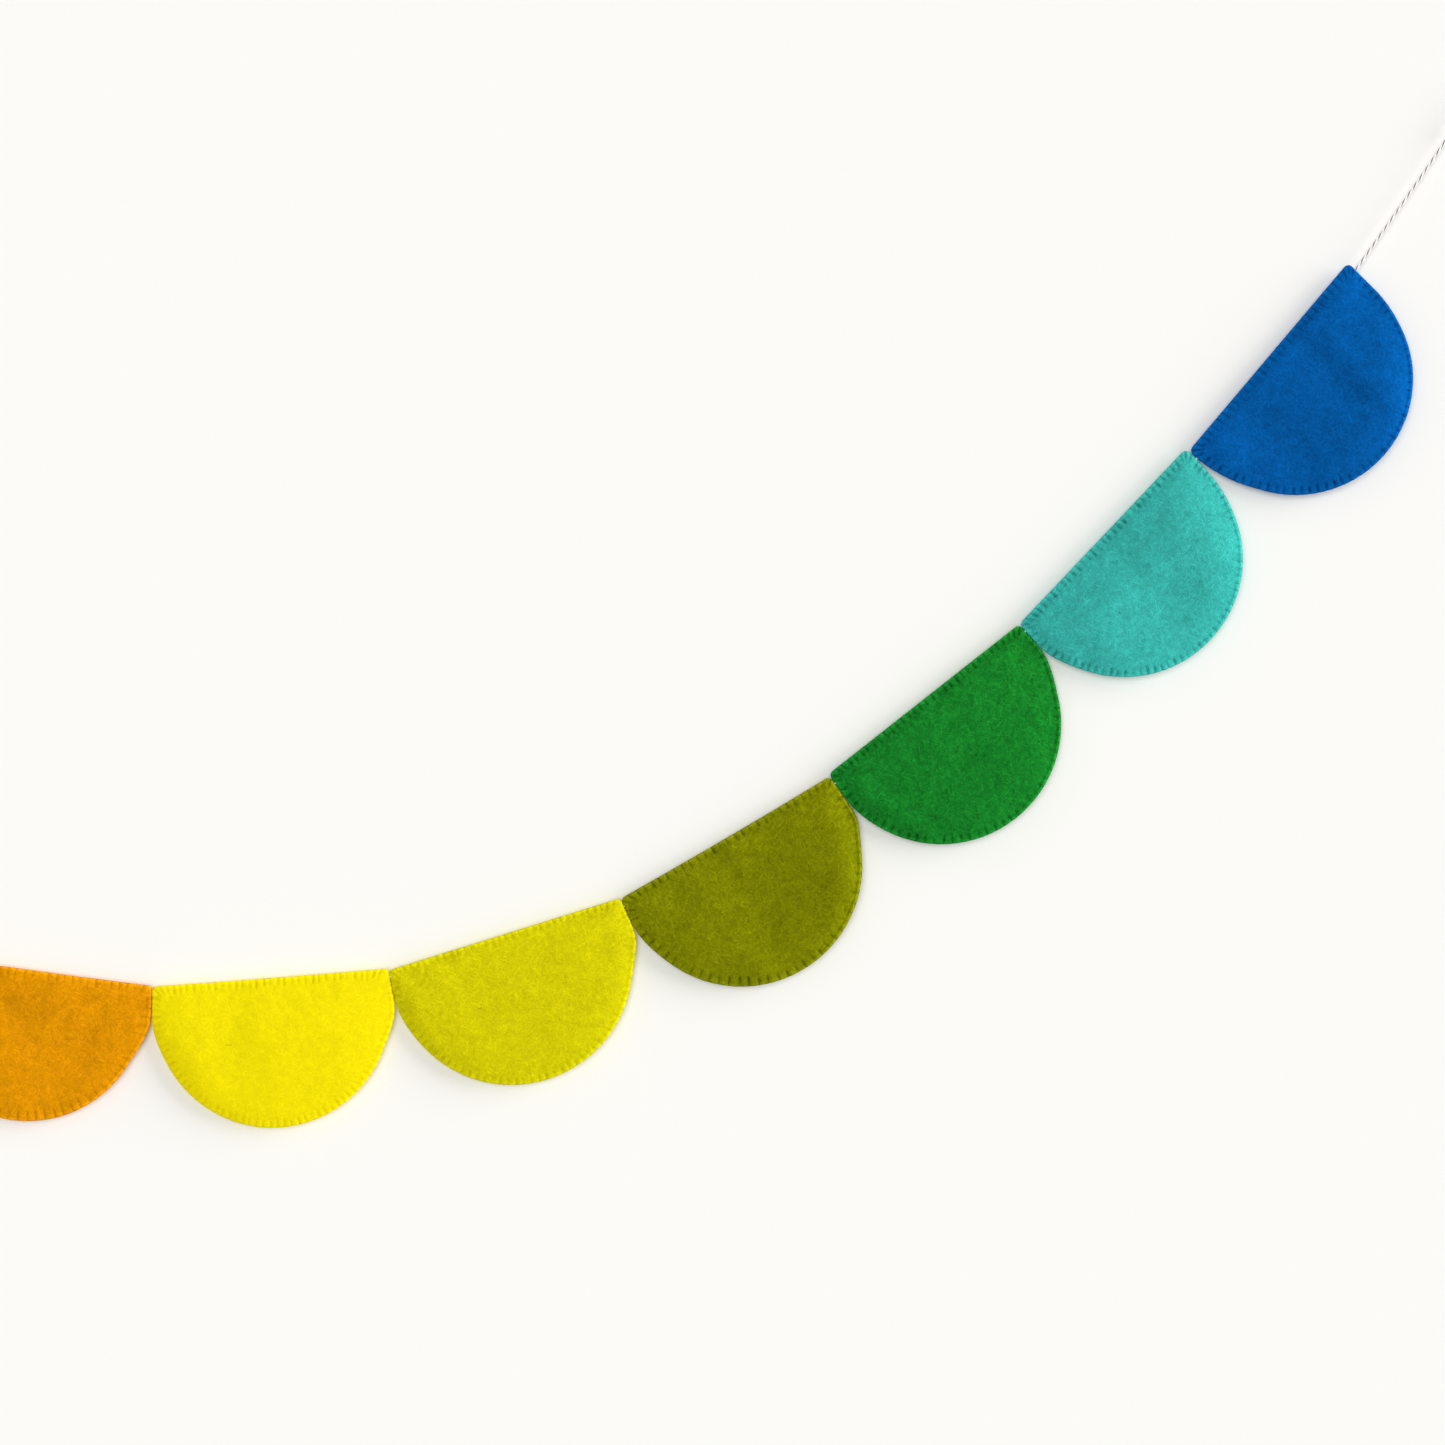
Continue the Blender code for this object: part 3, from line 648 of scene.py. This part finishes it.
def feltFrame(name):
    # The middle of the top edge, and the directions along it and down from it.
    part = scallops[name]
    place = rowOfNames.index(name)
    along = direction(part["tilt"])
    down = Vector((along.z, 0.0, -along.x))
    middle = 0.5 * (junctions[place] + junctions[place + 1])
    return middle - part["inset"] * down, along, down


# Stitches: thread of the felt's own colour over the rim, and along the edge between bites.
stitch = {
    "near": (0.0, 0.32, 0.75), "narrow": 2.4, "samples": 8, "biteVaries": 0.5, "biteFade": 1.5,
    "placeVaries": 0.3, "leanVaries": 0.25, "threadRadius": 0.19, "threadSides": 5,
    "pull": 0.28, "pullWidth": 0.6, "pullDepth": 1.8, "groove": 0.3, "grooveWidth": 0.48,
    "lobe": 0.14, "lobeWidth": 0.9, "lobeDepth": 1.3, "lobeReach": 1.7, "lobeHighlight": 0.14,
    "firmness": (0.35, 1.2), "edgeHighlight": (0.75, 0.5), "edgeWidth": 0.9, "lineDepth": 1.45,
    "lineWidth": 0.6, "line": 0.75, "lineGroove": 0.6, "turnedAway": 0.6, "darken": 0.5,
    "threadDark": 0.35, "biteDark": 0.9, "edgeSteps": 5, "edgeIn": 0.08, "edgeBow": 0.12,
    "edgeSlack": 0.2, "edgeHeight": 0.12, "twineClear": 1.4, "seed": 11,
}
# The thread's way over the rim: distance in from the edge, less the bite's where marked, and
# height off the seam. It comes up in the front bite and goes down in the back one.
threadSection = (
    ("bite", 0.25, 0.65), ("bite", 0.05, 1.0), ("bite", -0.3, 1.22), ("edge", 1.9, 1.10),
    ("edge", 1.2, 0.96), ("edge", 0.6, 0.82), ("edge", 0.26, 0.58), ("edge", 0.16, 0.3),
    ("edge", 0.14, 0.0),
)


def stitchPlaces(points, name):
    # Where each stitch crosses the edge, as a distance along the outline, which starts with the top.
    draw = random.Random(stitch["seed"] + rowOfNames.index(name))
    marks = [0.0]
    for first, second in zip(points, points[1:] + points[:1]):
        marks.append(marks[-1] + (second - first).length)
    topLength = marks[felt["topSteps"]]
    topGap, bellyGap = scallops[name]["stitchGaps"]
    topCount = round(topLength / topGap)
    bellyCount = round((marks[-1] - topLength) / bellyGap)
    places = [topLength * (number + 0.5) / topCount for number in range(topCount)]
    bellyPitch = (marks[-1] - topLength) / bellyCount
    places += [topLength + bellyPitch * (number + 0.5) for number in range(bellyCount)]
    places = [place + draw.uniform(-1.0, 1.0) * stitch["placeVaries"] for place in places]
    for side in (-1, 1):
        crossing = twineCrossing(scallops[name], side)
        nearest = min(range(len(points)), key=lambda number: (points[number] - crossing).length)
        for number, place in enumerate(places):
            if abs(place - marks[nearest]) < stitch["twineClear"]:
                clear = math.copysign(stitch["twineClear"], place - marks[nearest])
                places[number] = marks[nearest] + clear
    return marks, places


def pointAlong(points, marks, distance):
    distance %= marks[-1]
    before = bisect_right(marks, distance) - 1
    share = (distance - marks[before]) / (marks[before + 1] - marks[before])
    return points[before].lerp(points[(before + 1) % len(points)], share)


def sampleOffset(step, cell):
    # Samples crowd round the stitch at either end of a cell, the closer the narrower it is.
    near = [place * min(cell / stitch["narrow"], 1.0) for place in stitch["near"]]
    beyond = stitch["samples"] - step
    if step < len(near):
        return near[step]
    if beyond < len(near):
        return cell - near[beyond]
    share = (step - len(near) + 1) / (stitch["samples"] - 2 * len(near) + 2)
    return between(near[-1], cell - near[-1], share)


def inwardWays(points, marks):
    # The way in from the edge at even steps along it, smoothed so that it turns slowly at corners.
    count = round(marks[-1] / felt["directionStep"])
    spacing = marks[-1] / count
    straight = []
    for number in range(count):
        before = pointAlong(points, marks, spacing * (number - 1))
        along = pointAlong(points, marks, spacing * (number + 1)) - before
        straight.append(Vector((-along.y, along.x)).normalized())
    reach = round(3.0 * felt["directionBlur"] / spacing)
    steps = range(-reach, reach + 1)
    weights = [bell(step * spacing, felt["directionBlur"] * math.sqrt(2.0)) for step in steps]
    ways = []
    for number in range(count):
        total = Vector((0.0, 0.0))
        for step, weight in zip(steps, weights):
            total += weight * straight[(number + step) % count]
        ways.append(total.normalized())
    return ways, spacing


def makeEdge(name):
    # Samples of the outline between the stitches, with the way in from the edge at each.
    points = outlinePoints(name)
    marks, places = stitchPlaces(points, name)
    topLength = marks[felt["topSteps"]]
    draw = random.Random(stitch["seed"] * 7 + rowOfNames.index(name))
    ways, spacing = inwardWays(points, marks)
    spots = []
    inward = []
    cells = []
    for number, place in enumerate(places):
        following = places[(number + 1) % len(places)] + (marks[-1] if number + 1 == len(places) else 0.0)
        for step in range(stitch["samples"]):
            distance = place + sampleOffset(step, following - place)
            share, before = math.modf(distance / spacing)
            first = ways[int(before) % len(ways)]
            spots.append(pointAlong(points, marks, distance))
            inward.append(first.lerp(ways[(int(before) + 1) % len(ways)], share).normalized())
            cells.append(following - place)
    tree = kdtree.KDTree(len(points) * 4)
    for number in range(len(points)):
        for quarter in range(4):
            place = points[number].lerp(points[(number + 1) % len(points)], quarter / 4)
            tree.insert((place.x, place.y, 0.0), number)
    tree.balance()
    reaches = []
    for spot, way in zip(spots, inward):
        row = []
        for step in range(felt["depthSteps"] + 1):
            depth = felt["depthStep"] * step
            move = depth
            for _ in range(felt["depthPasses"]):
                place = spot + move * way
                move += depth - tree.find((place.x, place.y, 0.0))[2]
            row.append(max(move, 0.0))
        reaches.append(row)
    return {
        "name": name, "spots": spots, "inward": inward, "reaches": reaches, "cells": cells, "tree": tree,
        "topCount": stitch["samples"] * sum(1 for place in places if place < topLength),
        "bites": [scallops[name]["bites"][0 if place < topLength else 1]
                  + draw.uniform(-1.0, 1.0) * stitch["biteVaries"] for place in places],
        "leans": [draw.uniform(-1.0, 1.0) * stitch["leanVaries"] for _ in places],
        "firm": [draw.uniform(*stitch["firmness"]) for _ in places],
    }


def edgePlace(edge, spot, depth):
    # The point (u, v) that lies depth in from the edge at a sample, or between two samples.
    count = len(edge["spots"])
    before = math.floor(spot)
    share = spot - before
    if share > 0.0:
        return edgePlace(edge, before, depth).lerp(edgePlace(edge, before + 1, depth), share)
    number = int(before) % count
    move = depth
    if depth > 0.0:
        row = edge["reaches"][number]
        steps = depth / felt["depthStep"]
        step = min(int(steps), len(row) - 2)
        move = between(row[step], row[step + 1], steps - step)
    return edge["spots"][number] + move * edge["inward"][number]


def sectionHeight(depth):
    # Height of the outer face beyond the rim.
    for (near, low), (far, high) in zip(faceSection[:-1], faceSection[1:]):
        if depth < far:
            return between(low, high, max((depth - near) / (far - near), 0.0))
    return faceSection[-1][1]


def nearestLeg(edge, spot):
    # Distance along the edge to the nearest stitch, and that stitch's number.
    number, step = divmod(spot, stitch["samples"])
    cell = edge["cells"][spot]
    offset = sampleOffset(step, cell)
    if 2.0 * offset > cell:
        return cell - offset, (number + 1) % len(edge["bites"])
    return offset, number


def twineOpening(edge, place):
    # How far the seam stands open where the twine comes out between the layers.
    part = scallops[edge["name"]]
    opening = 0.0
    for side in (-1, 1):
        away = (place - twineCrossing(part, side)).length
        opening += felt["opening"] * softBump(away, felt["openingReach"])
    return opening


def ripple(place, size, seed):
    return noise.noise(Vector((place.x / size, place.y / size, 7.3 * seed)))


def rimPoint(edge, seed, spot, depth, height):
    # Place, height off the seam and painted light of a vertex on the rim of one layer. The felt is
    # pressed into a groove under each stitch and swells between them. Painted shade darkens the
    # grooves, and a painted highlight lightens the swellings and the very edge.
    legDistance, number = nearestLeg(edge, spot)
    firm = edge["firm"][number]
    place = edgePlace(edge, spot, depth)
    pull = max(1.0 - depth / stitch["pullDepth"], 0.0) * stitch["pull"] * firm
    pull *= bell(legDistance, stitch["pullWidth"])
    lump = felt["lumpHeight"] * ripple(place, felt["lumpSize"], seed)
    place = place + (pull + lump) * edge["inward"][spot]
    share = smoothStep((height - felt["outerFrom"]) / felt["outerFade"])
    inside = 1.0 - smoothStep((depth - edge["bites"][number]) / stitch["biteFade"] + 0.5)
    groove = bell(legDistance, stitch["grooveWidth"]) * inside
    lobe = 1.0 - bell(legDistance, stitch["lobeWidth"])
    lobe *= bell(depth - stitch["lobeDepth"], stitch["lobeReach"])
    # On the right the stitches turn away and leave one groove line along the edge, darkened with
    # painted shade.
    part = scallops[edge["name"]]
    along = direction(part["tilt"])
    turned = max(-edge["inward"][spot].x * along.x - edge["inward"][spot].y * along.z, 0.0) ** 2
    line = turned * stitch["line"] * bell(depth - stitch["lineDepth"], stitch["lineWidth"])
    groove *= 1.0 - stitch["turnedAway"] * turned
    border = 0 if spot < edge["topCount"] else 1
    ticks = part["ticks"][border]
    pressed = stitch["groove"] * between(0.4, 1.0, min(ticks, 1.0))
    pressed *= firm * groove + stitch["lineGroove"] * line
    rise = height + share * (stitch["lobe"] * lobe - pressed)
    # Painted shade in the stitch grooves and along the line on the right.
    dark = firm * groove * between(0.15, 1.0, smoothStep(depth / stitch["pullDepth"])) + line
    dark *= stitch["darken"] * ticks
    # Painted highlight on the swellings between stitches and at the very edge.
    pale = stitch["lobeHighlight"] * lobe + stitch["edgeHighlight"][border] * bell(depth, stitch["edgeWidth"])
    dark -= part["mottleAndHighlight"] * pale
    return place, rise, dark


def feltPlace(edge, origin, place, side, height, channelShare):
    # A point of the felt in metres.
    top, along, down = origin
    part = scallops[edge["name"]]
    height += channelShare * channelRise(part, place)
    point = top + place.x * along + place.y * down
    point.y = side * height - forwardHeave(part, place)
    return point * mm


def makeFeltLayer(edge, layer, side, material):
    name = edge["name"]
    part = scallops[name]
    origin = feltFrame(name)
    seed = 1 + rowOfNames.index(name) + (20 if side > 0 else 0)
    count = len(edge["spots"])
    coreStart = 2 * round((edge["topCount"] - count / 2) / 4)
    sheet = bmesh.new()
    spotOf = sheet.verts.layers.int.new("spot")
    ringOf = sheet.verts.layers.int.new("ring")
    dark = sheet.verts.layers.float.new("dark")

    def vertsOf(loop):
        return list({vertex for item in loop for vertex in item.verts})

    def grow(loop, ring):
        grown = bmesh.ops.extrude_edge_only(sheet, edges=loop)["geom"]
        for vertex in newVerts(grown):
            vertex[ringOf] = ring
        return newEdges(grown)

    def halve(loop):
        # Each odd vertex joins the even one before it.
        verts = vertsOf(loop)
        ring = verts[0][ringOf]
        evens = {vertex[spotOf]: vertex for vertex in verts}
        for vertex in verts:
            if vertex[spotOf] % 2:
                vertex[spotOf] -= 1
                vertex.co = evens[vertex[spotOf]].co
        bmesh.ops.remove_doubles(sheet, verts=verts, dist=felt["merge"])
        return [item for item in sheet.edges if item.verts[0][ringOf] == ring == item.verts[1][ringOf]]

    def corePlace(spot):
        # Samples above and below share the same points of the middle line, so its seam closes.
        turned = (spot - coreStart) % count
        folded = min(turned, count - turned) / (count / 2)
        return Vector((part["centre"][0] + felt["coreHalf"] * (2.0 * folded - 1.0), felt["coreDepth"]))

    def wave(place):
        return felt["waveHeight"] * ripple(place, felt["waveSize"], seed)

    def setRim(loop, depth, height):
        for vertex in vertsOf(loop):
            place, rise, shade = rimPoint(edge, seed, vertex[spotOf], depth, height)
            share = felt["channelShows"] * smoothStep((depth - felt["channelFrom"]) / felt["channelFade"])
            outer = smoothStep((height - felt["outerFrom"]) / felt["openingFade"])
            rise += twineOpening(edge, place) * (1.0 - felt["openingThins"] * outer)
            rise += wave(place) * smoothStep(depth / felt["waveFade"])
            vertex.co = feltPlace(edge, origin, place, side, rise, share)
            vertex[dark] = shade + paintedCreaseShade(part, place)

    def setInner(loop, share, startDepth, shown):
        for vertex in vertsOf(loop):
            place = edgePlace(edge, vertex[spotOf], startDepth).lerp(corePlace(vertex[spotOf]), share)
            height = felt["layerGap"] / 2
            if shown:
                dimple = felt["dimpleHeight"] * ripple(place, felt["dimpleSize"], seed + 3)
                height = sectionHeight(edge["tree"].find((place.x, place.y, 0.0))[2]) + wave(place)
                height += dimple * smoothStep(share / felt["dimpleFade"])
            channel = felt["channelShows"] if shown else 1.0
            vertex.co = feltPlace(edge, origin, place, side, height, channel)
            vertex[dark] = paintedCreaseShade(part, place)

    for number, vertex in enumerate(bmesh.ops.create_circle(sheet, segments=count, radius=1.0)["verts"]):
        vertex[spotOf] = number
    firstLoop = sheet.edges[:]
    loop = firstLoop
    setRim(loop, *rimSection[0])
    for ring, (depth, height) in enumerate(rimSection[1:]):
        loop = grow(loop, ring + 1)
        setRim(loop, depth, height)
    loop = halve(loop)
    rings = felt["frontRings"] if side < 0 else felt["backRings"]
    for ring in range(rings):
        loop = grow(loop, firstRings["face"] + ring)
        setInner(loop, (ring + 1) / rings, rimSection[-1][0], True)
    # The hidden side, which lies against the twine.
    loop = grow(firstLoop, firstRings["turn"])
    for vertex in vertsOf(loop):
        place = edgePlace(edge, vertex[spotOf], felt["hiddenDepth"])
        height = felt["hiddenHeight"] + twineOpening(edge, place)
        vertex.co = feltPlace(edge, origin, place, side, height, 1.0)
    loop = halve(loop)
    last = felt["hiddenRings"] - 1
    for ring in range(felt["hiddenRings"]):
        loop = grow(loop, firstRings["hidden"] + ring)
        share = (ring + felt["hiddenFirst"]) / (last + felt["hiddenFirst"])
        setInner(loop, share, felt["hiddenStart"], False)
    bmesh.ops.remove_doubles(sheet, verts=sheet.verts[:], dist=felt["merge"])
    piece = addPiece(sheet, name + layer, material)
    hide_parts(name + ("_front" if side < 0 else "_back"))
    return piece


def makeStitches(edge, material):
    # A leg over the rim for each stitch, and the thread along the edge to the next one.
    name = edge["name"]
    origin = feltFrame(name)
    samples = stitch["samples"]
    backHalf = tuple((kind, depth, -height) for kind, depth, height in threadSection[-2::-1])
    section = threadSection + backHalf
    last = len(section) - 1
    legs = len(edge["bites"])

    def threadCentre(number, step):
        kind, depth, height = section[step]
        depth += edge["bites"][number] if kind == "bite" else 0.0
        lean = edge["leans"][number] * (2.0 * step / last - 1.0)
        spot = samples * number + lean / stitch["near"][1]
        return feltPlace(edge, origin, edgePlace(edge, spot, depth), -1, height, 0.0)

    def edgeCentre(number, step):
        share = step / stitch["edgeSteps"]
        depth = stitch["edgeIn"] - stitch["edgeBow"] * math.sin(math.pi * share)
        depth += stitch["edgeSlack"] * (1.0 - share) * share
        place = edgePlace(edge, samples * (number + share), depth)
        return feltPlace(edge, origin, place, -1, stitch["edgeHeight"], 0.0)

    def tubes(centreOf, rings, markAt):
        def placeAt(number, step, side):
            centre = centreOf(number, step)
            before = centreOf(number, max(step - 1, 0))
            after = centreOf(number, min(step + 1, rings - 1))
            onward = (after - before).normalized()
            across = onward.cross(Vector((0.3, 0.2, 0.93))).normalized()
            up = onward.cross(across)
            angle = 2.0 * math.pi * side / stitch["threadSides"]
            radius = stitch["threadRadius"] * mm
            return centre + radius * (math.cos(angle) * across + math.sin(angle) * up)
        return sweepTubes(legs, rings, stitch["threadSides"], placeAt, "dark", markAt)

    # Painted shade on the thread: deepest at the bites, where it goes into the felt, and less along the
    # rest of it.
    def darkAt(number, step):
        dark = stitch["biteDark"] if step in (0, 1, last - 1, last) else stitch["threadDark"]
        return stitch["darken"] * min(scallops[name]["ticks"][1], 1.0) * dark

    thread = tubes(threadCentre, last + 1, darkAt)
    along = tubes(edgeCentre, stitch["edgeSteps"] + 1, lambda number, step: 0.0)
    spare = bpy.data.meshes.new("spare")
    along.to_mesh(spare)
    along.free()
    thread.from_mesh(spare)
    bpy.data.meshes.remove(spare)
    return addPiece(thread, name + "Stitching", material)


# Loose fibres that stand off the felt.
fuzz = {
    "rim": 2200, "face": 500, "lengths": (0.35, 1.5), "leans": (0.5, 2.2), "curl": 0.5, "droop": 0.35,
    "root": 0.05, "radius": 0.02, "taper": (1.0, 0.8, 0.25), "sides": 3, "seed": 5,
}


def makeFuzz(name, rimCount, layers, material):
    draw = random.Random(fuzz["seed"] + rowOfNames.index(name))
    grown = []
    for piece in layers:
        mesh = piece.data
        rim = rimCount * len(rimSection)
        for total, first, last in ((fuzz["rim"], rimCount, rim), (fuzz["face"], rim, len(mesh.vertices))):
            for _ in range(total // 2):
                vertex = mesh.vertices[draw.randrange(first, last)]
                way = vertex.normal.copy()
                loose = Vector([draw.uniform(-1.0, 1.0) for _ in range(3)])
                lying = loose - loose.dot(way) * way
                lean = draw.uniform(*fuzz["leans"])
                onward = (way + lean * lying).normalized()
                curl = fuzz["curl"] * lying.cross(way) * draw.uniform(-1.0, 1.0)
                length = draw.uniform(*fuzz["lengths"]) * mm
                start = vertex.co - fuzz["root"] * mm * way
                middle = start + 0.5 * length * onward
                tip = middle + 0.5 * length * (onward + curl - fuzz["droop"] * way)
                across = onward.orthogonal().normalized()
                grown.append(((start, middle, tip), across, onward.cross(across)))

    def placeAt(number, ring, side):
        line, across, up = grown[number]
        angle = 2.0 * math.pi * side / fuzz["sides"]
        radius = fuzz["radius"] * fuzz["taper"][ring] * mm
        return line[ring] + radius * (math.cos(angle) * across + math.sin(angle) * up)

    rings = len(fuzz["taper"])
    fibres = sweepTubes(len(grown), rings, fuzz["sides"], placeAt, "dark", lambda number, ring: 0.0)
    return addPiece(fibres, name + "Fuzz", material)


feltLook = {
    "roughness": 0.95, "sheen": 0.08, "sheenRoughness": 0.5, "specular": 0.03, "deep": 0.5, "pale": 1.5,
    "patchScale": 240.0, "flockScale": 760.0, "grainScale": 1700.0, "fibreThick": 0.0005,
    "fibreLong": 0.0035, "fibreTurns": (18.0, 74.0, 131.0), "patchShare": 0.75, "flockShare": 1.0,
    "grainShare": 0.7, "fibreShare": 0.5, "fibreMiddle": 0.35, "bumpStrength": 0.5, "bumpDistance": 0.0004,
}


def makeFeltLook(name):
    part = scallops[name]
    look = Look(name + " felt", {
        "Roughness": feltLook["roughness"], "Sheen Weight": feltLook["sheen"],
        "Sheen Roughness": feltLook["sheenRoughness"], "Sheen Tint": (*part["colour"], 1.0),
        "Specular IOR Level": feltLook["specular"]})
    place = look.node("ShaderNodeTexCoord", {}, {}, "Object")
    dark = look.node("ShaderNodeAttribute", {"attribute_name": "dark"}, {}, "Fac")
    patches = look.noise(place, feltLook["patchScale"], 3.0, 0.6, 0.4)
    flock = look.noise(place, feltLook["flockScale"], 3.0, 0.6, 0.8)
    grain = look.noise(place, feltLook["grainScale"], 2.0, 0.6, 0.5)
    fibres = None
    for turn in feltLook["fibreTurns"]:
        laid = look.node("ShaderNodeMapping", {"vector_type": "TEXTURE"}, {
            "Vector": place, "Rotation": (0.0, math.radians(turn), 0.0),
            "Scale": (feltLook["fibreLong"], feltLook["fibreLong"], feltLook["fibreThick"])})
        strand = look.spread(look.noise(laid, 1.0, 2.0, 0.5, 0.6), 0.52, 0.72)
        fibres = strand if fibres is None else look.node(
            "ShaderNodeMath", {"operation": "MAXIMUM"}, {0: fibres, 1: strand})
    varied = feltLook["patchShare"] * (patches - 0.5) + feltLook["flockShare"] * (flock - 0.5)
    varied = varied + feltLook["grainShare"] * (grain - 0.5)
    varied = varied + feltLook["fibreShare"] * (fibres - feltLook["fibreMiddle"])
    share = look.node("ShaderNodeClamp", {}, {"Value": 0.5 + part["mottleAndHighlight"] * varied})
    deep = [value * feltLook["deep"] for value in part["colour"]]
    pale = [value * feltLook["pale"] for value in part["colour"]]
    tint = look.mixColour(share, deep, pale)
    # The dark mark scales the colour: above nought it is painted shade, below nought a painted highlight.
    shaded = look.node("ShaderNodeVectorMath", {"operation": "SCALE"}, {
        "Vector": tint, "Scale": 1 - dark})
    relief = 0.4 * flock + 0.3 * grain + 0.3 * fibres
    look.feed(look.shader, {
        "Base Color": shaded,
        "Normal": look.bump(relief, feltLook["bumpStrength"], feltLook["bumpDistance"])})
    return look.material


def makeScallop(name):
    material = makeFeltLook(name)
    edge = makeEdge(name)
    spots = edge["spots"]
    area = 0.5 * abs(sum(a.x * b.y - b.x * a.y for a, b in zip(spots, spots[1:] + spots[:1])))
    width = max(spot.x for spot in spots) - min(spot.x for spot in spots)
    depth = max(spot.y for spot in spots) - min(spot.y for spot in spots)
    front = makeFeltLayer(edge, "Front", -1, material)
    back = makeFeltLayer(edge, "Back", 1, material)
    stitching = makeStitches(edge, material)
    fibres = makeFuzz(name, len(spots), (front, back), material)
    for piece in (front, back, stitching, fibres):
        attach(piece, "root")
    print(name, "scallop:", len(edge["bites"]), "stitches,", len(front.data.polygons), "faces in front")


for scallopName in rowOfNames:
    makeScallop(scallopName)


# Floor, backdrop and a side sheet, and soft studio light. The key comes low from the right and a
# fill from the front. They are wide suns, so they are as bright at either end of the row. One
# lights the back. Only the backdrop throws light on, and none of the sheets casts a shadow.
studio = {
    "backdropY": 0.005, "backdropTurn": 0.1, "floorZ": -1.5, "size": 60.0,
    "paper": (0.902, 0.893, 0.861), "paperRoughness": 0.95, "paperSpecular": 0.1,
    "worldColour": (1.0, 1.0, 1.0), "worldStrength": 0.37,
    "keyFrom": (3.5, -1.0, 0.9), "keyAngle": 50.0, "keyStrength": 2.7,
    "frontFrom": (-0.12, -1.0, 0.05), "frontAngle": 35.0, "frontStrength": 1.5,
    "backFrom": (-0.6, 1.0, 0.8), "backAngle": 60.0, "backStrength": 1.0,
}


def makePaperLook(name, oneSided):
    look = Look(name, {
        "Base Color": (*studio["paper"], 1.0), "Roughness": studio["paperRoughness"],
        "Specular IOR Level": studio["paperSpecular"]})
    if oneSided:
        # Clear from behind, so that the back of the bunting can be seen.
        behind = look.node("ShaderNodeNewGeometry", {}, {}, "Backfacing")
        clear = look.node("ShaderNodeBsdfTransparent", {}, {})
        shaderOut = Wire(look, look.shader.outputs[0])
        mixed = look.node("ShaderNodeMixShader", {}, {0: behind, 1: shaderOut, 2: clear})
        look.feed(look.tree.nodes["Material Output"], {"Surface": mixed})
    return look.material


def turnBy(angle, axis):
    return Matrix.Rotation(math.radians(angle), 3, axis)


def makeStudio():
    half = studio["size"] / 2
    middle = studio["floorZ"] + half
    # The backdrop is turned a little, for the right end of the row hangs farther off it.
    backdropTurn = turnBy(studio["backdropTurn"], "Z") @ turnBy(90.0, "X")
    sheets = (
        ("backdrop", backdropTurn, (0.0, studio["backdropY"], middle)),
        ("floor", turnBy(0.0, "Z"), (0.0, 0.0, studio["floorZ"])),
        ("side", turnBy(90.0, "Y"), (-half, 0.0, middle)),
    )
    for name, turn, place in sheets:
        isBackdrop = name == "backdrop"
        sheet = bmesh.new()
        bmesh.ops.create_grid(sheet, x_segments=2, y_segments=2, size=half)
        bmesh.ops.rotate(sheet, cent=(0.0, 0.0, 0.0), verts=sheet.verts[:], matrix=turn)
        bmesh.ops.translate(sheet, verts=sheet.verts[:], vec=place)
        mesh = bpy.data.meshes.new(name)
        sheet.to_mesh(mesh)
        sheet.free()
        mesh.materials.append(makePaperLook(name + " paper", isBackdrop))
        stageObject = bpy.data.objects.new(name, mesh)
        bpy.context.scene.collection.objects.link(stageObject)
        stageObject.visible_shadow = False
        stageObject.visible_diffuse = isBackdrop
    world = bpy.data.worlds.new("studio")
    world.use_nodes = True
    background = world.node_tree.nodes["Background"]
    background.inputs["Color"].default_value = (*studio["worldColour"], 1.0)
    background.inputs["Strength"].default_value = studio["worldStrength"]
    bpy.context.scene.world = world
    for name in ("key", "front", "back"):
        light = bpy.data.lights.new(name, "SUN")
        light.angle = math.radians(studio[name + "Angle"])
        light.energy = studio[name + "Strength"]
        lamp = bpy.data.objects.new(name, light)
        lamp.rotation_mode = "QUATERNION"
        lamp.rotation_quaternion = Vector(studio[name + "From"]).to_track_quat("Z", "Y")
        bpy.context.scene.collection.objects.link(lamp)
    bpy.context.scene.view_settings.view_transform = "Standard"
    print("studio made")


makeStudio()
